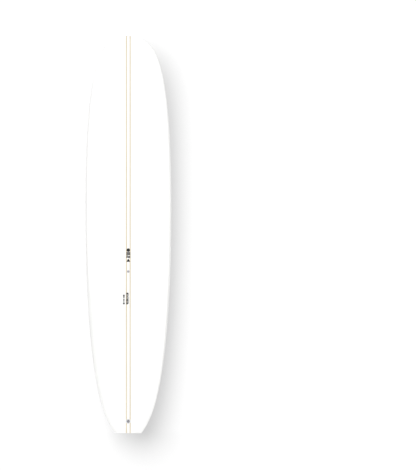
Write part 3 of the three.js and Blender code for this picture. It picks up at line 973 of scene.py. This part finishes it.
def wave(x, y, width, height, swing, waves):
    """A band that rolls up and down."""
    steps = WAVE_STEPS * waves
    across = [x - width / 2 + width * i / steps for i in range(steps + 1)]
    rise = [y + swing * math.sin(2 * math.pi * waves * i / steps) for i in range(steps + 1)]
    low = [(a, b - height / 2) for a, b in zip(across, rise)]
    high = [(a, b + height / 2) for a, b in zip(across, rise)]
    return low + high[::-1]


def ink(name, printed, side, proud, outlines):
    """The outlines' shapes cut out of a print's sheet."""
    sheet = surface_sheet(name, printed, side, proud)
    combine(sheet, prisms(name + "_shapes", printed, outlines), "INTERSECT")
    return sheet


def name_mark():
    """A disc, three bars, two waves and a triangle, from the nose end."""
    width = 0.0268
    shapes = [disc(0, 0.0342, 0.0123)]
    shapes += [bar(0, y, width, 0.0060) for y in (0.0175, 0.0103, 0.0031)]
    shapes += [wave(0, y, width, 0.0064, 0.0018, 1) for y in (-0.0076, -0.0158)]
    return shapes + [[(-width / 2, -0.0464), (width / 2, -0.0464), (0, -0.0236)]]


# Bars of the two lower marks, from the nose end: place along the board, width across it and length
MODEL_BARS = (
    (0.0344, 0.0114, 0.0125),
    (0.0228, 0.0080, 0.0082),
    (0.0132, 0.0084, 0.0086),
    (0.0036, 0.0080, 0.0080),
    (-0.0096, 0.0114, 0.0150),
    (-0.0222, 0.0082, 0.0074),
    (-0.0336, 0.0114, 0.0128),
)
MODEL_BARS_OFFSET = -0.0022
MODEL_LINES = ((0.0290, 0.0036, 0.0220), (0.0060, 0.0036, 0.0180), (-0.0200, 0.0036, 0.0300))
MODEL_LINES_OFFSET = 0.0061
SIZE_BARS = (
    (0.0274, 0.0112, 0.0120),
    (0.0164, 0.0092, 0.0082),
    (0.0020, 0.0088, 0.0092),
    (-0.0094, 0.0078, 0.0104),
    (-0.0262, 0.0108, 0.0126),
)


def column(x, bars):
    """Bars in a row along the board, centred at x across it."""
    return [bar(x, y, width, length) for y, width, length in bars]


def make_deck_prints(black):
    piece = ink("deck_mark_upper", DECK_NAME, -1, INK_PROUD, name_mark())
    finish_piece(piece, "print", black, "deck_print_name")

    shapes = column(MODEL_BARS_OFFSET, MODEL_BARS) + column(MODEL_LINES_OFFSET, MODEL_LINES)
    piece = ink("deck_mark_lower", DECK_MODEL, -1, INK_PROUD, shapes)
    finish_piece(piece, "print", black, "deck_print_model")

    piece = ink("deck_mark_side", DECK_SIZE, -1, INK_PROUD, column(0, SIZE_BARS))
    finish_piece(piece, "print", black, "deck_print_size")


def crescent(x, y, outer, inner, shift):
    """A disc with a smaller disc taken out of its edge."""
    meet = (outer**2 - inner**2 + shift**2) / (2 * shift)
    half_outer = math.degrees(math.acos(meet / outer))
    half_inner = math.degrees(math.acos((meet - shift) / inner))
    outer_steps, inner_steps = CRESCENT_STEPS
    points = arc((x, y), outer, half_outer, 360 - half_outer, outer_steps)
    return points + arc((x + shift, y), inner, 360 - half_inner, half_inner, inner_steps)[1:-1]


def label_motif():
    """Bars, a disc, a crescent, rising steps, a wave and a broken line, from the nose end."""
    shapes = [bar(0.0275, 0.0365, 0.0290, 0.0046), disc(0.0065, 0.0365, 0.0030)]
    shapes += [bar(-0.0090, 0.0250, 0.0270, 0.0042), bar(0.0170, 0.0262, 0.0130, 0.0030)]
    shapes.append(crescent(0.0225, 0.0040, 0.0170, 0.0140, 0.0075))
    shapes += [bar(-0.0080 - 0.0075 * k, -0.0040, 0.0034, 0.0040 + 0.0034 * k) for k in range(5)]
    shapes.append(wave(0, -0.0215, 0.0840, 0.0056, 0.0026, 3))
    return shapes + [bar(x, -0.0350, 0.0210, 0.0026) for x in (-0.0290, 0, 0.0290)]


def make_bottom_label(black, pale):
    _, _, width, length = BOTTOM_LABEL
    whole = bar(0, 0, width - LABEL_MARGIN, length - LABEL_MARGIN, LABEL_CORNER)
    field = ink("bottom_label_field", BOTTOM_LABEL, 1, INK_PROUD, [whole])
    finish_piece(field, "label", black, "bottom_label")
    piece = ink("bottom_label_motif", BOTTOM_LABEL, 1, MOTIF_PROUD, label_motif())
    finish_piece(piece, "label", pale)


# ---- Stage, lights and camera ----

WALL_Y = 0.2
WALL_HALF = 6.0
WALL_FOOT = -1.0
WALL_TOP = 3.2
WALL_PAINT = (0.1, 0.547)  # how much light it throws back, and how strongly it glows
FLOOR_RADIUS = 2.6
FLOOR_PLAIN = 1.0  # from here to its rim the floor fades into the white surroundings
FLOOR_PAINT = (0.15, 0.5)


def stage_paint(name, tone, glow):
    """A pale surface that glows a little, so that it stays near white: its material and its shader."""
    material = bpy.data.materials.new(name)
    material.use_nodes = True
    tree = material.node_tree
    tree.nodes.clear()
    diffuse, emission = tree.nodes.new("ShaderNodeBsdfDiffuse"), tree.nodes.new("ShaderNodeEmission")
    both = tree.nodes.new("ShaderNodeAddShader")
    diffuse.inputs["Color"].default_value = (tone, tone, tone, 1)
    emission.inputs["Strength"].default_value = glow
    tree.links.new(diffuse.outputs[0], both.inputs[0])
    tree.links.new(emission.outputs[0], both.inputs[1])
    return material, both.outputs[0]


def clear_where(material, shader, share):
    """Shows the shader where share is 0, and what is behind the surface where it is 1."""
    tree = material.node_tree
    choice = tree.nodes.new("ShaderNodeMixShader")
    tree.links.new(share, choice.inputs[0])
    tree.links.new(shader, choice.inputs[1])
    tree.links.new(tree.nodes.new("ShaderNodeBsdfTransparent").outputs[0], choice.inputs[2])
    output = tree.nodes.new("ShaderNodeOutputMaterial")
    tree.links.new(choice.outputs[0], output.inputs["Surface"])
    return material


def floor_material():
    """Plain round the board, and clear at the rim."""
    material, shader = stage_paint("floor_paint", *FLOOR_PAINT)
    tree = material.node_tree
    length, fade = tree.nodes.new("ShaderNodeVectorMath"), tree.nodes.new("ShaderNodeMapRange")
    length.operation = "LENGTH"
    fade.interpolation_type = "SMOOTHSTEP"
    tree.links.new(tree.nodes.new("ShaderNodeTexCoord").outputs["Object"], length.inputs[0])
    tree.links.new(length.outputs["Value"], fade.inputs["Value"])
    fade.inputs["From Min"].default_value = FLOOR_PLAIN
    fade.inputs["From Max"].default_value = FLOOR_RADIUS
    return clear_where(material, shader, fade.outputs[0])


def backdrop_material():
    """It shows from the front only, so that it doesn't hide the board's bottom from behind."""
    material, shader = stage_paint("backdrop_paint", *WALL_PAINT)
    side = material.node_tree.nodes.new("ShaderNodeNewGeometry").outputs["Backfacing"]
    return clear_where(material, shader, side)


def plane(name, points, material):
    obj = mesh_object(name, points, [tuple(range(len(points)))])
    obj.data.materials.append(material)
    obj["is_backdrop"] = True
    return obj


def make_stage():
    """The floor and the backdrop. Only the camera sees the backdrop: it throws no light on the board."""
    floor = plane("floor", [(x, y, 0) for x, y in disc(0, 0, FLOOR_RADIUS, RIM_STEPS)], floor_material())
    left, right = -WALL_HALF, WALL_HALF
    corners = [(left, WALL_FOOT), (right, WALL_FOOT), (right, WALL_TOP), (left, WALL_TOP)]
    wall = plane("backdrop", [(x, WALL_Y, z) for x, z in corners], backdrop_material())
    for ray in ("diffuse", "glossy", "transmission", "shadow"):
        setattr(wall, "visible_" + ray, False)
    return floor, wall


# Name, place, width, height and power of each softbox
SOFTBOXES = (
    ("left_box", (-3.7, -3.4, 2.8), 2.6, 4.0, 46),
    ("right_box", (3.9, -3.2, 1.8), 2.2, 4.0, 40),
    ("rear_right_box", (3.5, 3.6, 2.6), 2.6, 4.0, 40),
    ("rear_left_box", (-3.9, 3.4, 2.2), 2.2, 4.0, 28),
)
SUN_FROM = (-0.42, -1, 0.47)
SUN_STRENGTH = 14.8
SUN_ANGLE = 0.95  # how wide the sun looks, in radians, which makes its shadows soft


def light(name, kind, place, target, **settings):
    """A light at a place, turned towards the target."""
    data = bpy.data.lights.new(name, kind)
    for key, value in settings.items():
        setattr(data, key, value)
    obj = bpy.data.objects.new(name, data)
    bpy.context.scene.collection.objects.link(obj)
    obj.location = place
    obj.rotation_euler = (Vector(target) - Vector(place)).to_track_quat("-Z", "Y").to_euler()
    return obj


def softbox(name, place, width, height, power):
    """An area light turned towards the board's middle."""
    middle = (0, 0, LENGTH / 2)
    light(name, "AREA", place, middle, shape="RECTANGLE", size=width, size_y=height, energy=power)


def make_lights(stage):
    """Softboxes to the left and right in front and behind, and a soft sun.

    The sun lights only the stage, and only the board throws its shadow there.
    """
    for box in SOFTBOXES:
        softbox(*box)
    shade = light("stage_sun", "SUN", SUN_FROM, (0, 0, 0), energy=SUN_STRENGTH, angle=SUN_ANGLE)
    receivers = bpy.data.collections.new("stage_only")
    for obj in stage:
        receivers.objects.link(obj)
    shade.light_linking.receiver_collection = receivers
    blockers = bpy.data.collections.new("board_only")
    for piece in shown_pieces():
        blockers.objects.link(piece)
    shade.light_linking.blocker_collection = blockers


# The surroundings' light: its level, what it loses towards the sides and the rear, and its gain upwards
LIGHT_LEVEL = 1.18
LIGHT_SIDE_LOSS = 0.96
LIGHT_REAR_LOSS = 0.03
LIGHT_TOP_GAIN = 0.05


def make_world():
    """White to the camera, and a soft light on the board that is much weaker from the sides."""
    world = bpy.data.worlds.new("studio")
    bpy.context.scene.world = world
    world.use_nodes = True
    tree = world.node_tree
    tree.nodes.clear()
    add, link = tree.nodes.new, tree.links.new
    output, choice = add("ShaderNodeOutputWorld"), add("ShaderNodeMixShader")
    seen, lit = add("ShaderNodeBackground"), add("ShaderNodeBackground")
    for background in (seen, lit):
        background.inputs["Color"].default_value = (1, 1, 1, 1)
    split = add("ShaderNodeSeparateXYZ")
    link(add("ShaderNodeTexCoord").outputs["Generated"], split.inputs[0])

    def combined(operation, first, second):
        node = add("ShaderNodeMath")
        node.operation = operation
        for socket, value in zip(node.inputs, (first, second)):
            if isinstance(value, float):
                socket.default_value = value
            else:
                link(value, socket)
        return node.outputs[0]

    sideways = combined("MULTIPLY", split.outputs["X"], split.outputs["X"])
    strength = combined("SUBTRACT", LIGHT_LEVEL, combined("MULTIPLY", sideways, LIGHT_SIDE_LOSS))
    strength = combined("SUBTRACT", strength, combined("MULTIPLY", split.outputs["Y"], LIGHT_REAR_LOSS))
    strength = combined("ADD", strength, combined("MULTIPLY", split.outputs["Z"], LIGHT_TOP_GAIN))
    link(strength, lit.inputs["Strength"])
    link(add("ShaderNodeLightPath").outputs["Is Camera Ray"], choice.inputs[0])
    link(lit.outputs[0], choice.inputs[1])
    link(seen.outputs[0], choice.inputs[2])
    link(choice.outputs[0], output.inputs["Surface"])


VIEW_HEIGHT = 3.2449  # what the picture spans from top to bottom
VIEW_CENTRE = (0.5503, 1.3684)  # across and up: the board stands left of the middle
CAMERA_DISTANCE = 8
CAMERA_REACH = 30  # it sees nothing that is farther away


def make_camera():
    """Straight in front of the deck, without perspective."""
    data = bpy.data.cameras.new("camera")
    data.type = "ORTHO"
    data.ortho_scale = VIEW_HEIGHT
    data.clip_end = CAMERA_REACH
    camera = bpy.data.objects.new("camera", data)
    bpy.context.scene.collection.objects.link(camera)
    camera.location = (VIEW_CENTRE[0], -CAMERA_DISTANCE, VIEW_CENTRE[1])
    camera.rotation_euler = (math.pi / 2, 0, 0)
    bpy.context.scene.camera = camera


# ---- Assembly ----

def carry_over(names, material):
    """Gives CAD nodes that stay as they are a material."""
    for name in names:
        nodes[name].data.materials.clear()
        nodes[name].data.materials.append(material)


make_camera()
make_laminates()
make_fin_box(
    moulded_plastic("box_plastic", linear(250, 250, 249), linear(240, 241, 240), rough=0.42, streaks=0.5),
)
make_box_bedding(resin_material("box_resin", linear(164, 169, 167), linear(142, 147, 145)))
make_leash_plug(
    moulded_plastic("plug_plastic", linear(217, 216, 220), linear(201, 200, 205), rough=0.38, streaks=0.2),
    steel_material(),
    resin_material("plug_resin", linear(230, 232, 230), linear(216, 219, 217)),
)
make_vent(
    moulded_plastic("bush_plastic", linear(226, 226, 230), linear(212, 212, 218), rough=0.4, streaks=0.2),
    moulded_plastic("screw_plastic", linear(178, 177, 184), linear(160, 159, 167), rough=0.36, streaks=0.2),
)
make_deck_prints(ink_material("deck_ink", linear(22, 22, 24), linear(52, 52, 54), gloss=1.0))
make_bottom_label(
    ink_material("label_ink", linear(8, 8, 9), linear(24, 24, 26), gloss=0.35),
    ink_material("label_motif_ink", linear(194, 192, 188), linear(148, 146, 142), gloss=0.35),
)
carry_over(["foam_left", "foam_centre", "foam_right"], foam_material())
carry_over(["stringer_left", "stringer_right"], stringer_material())
carry_over(["vent_o_ring"], rubber_material())
carry_over(["vent_membrane"], membrane_material())
make_lights(make_stage())
make_world()
bpy.context.scene.view_settings.view_transform = "Standard"
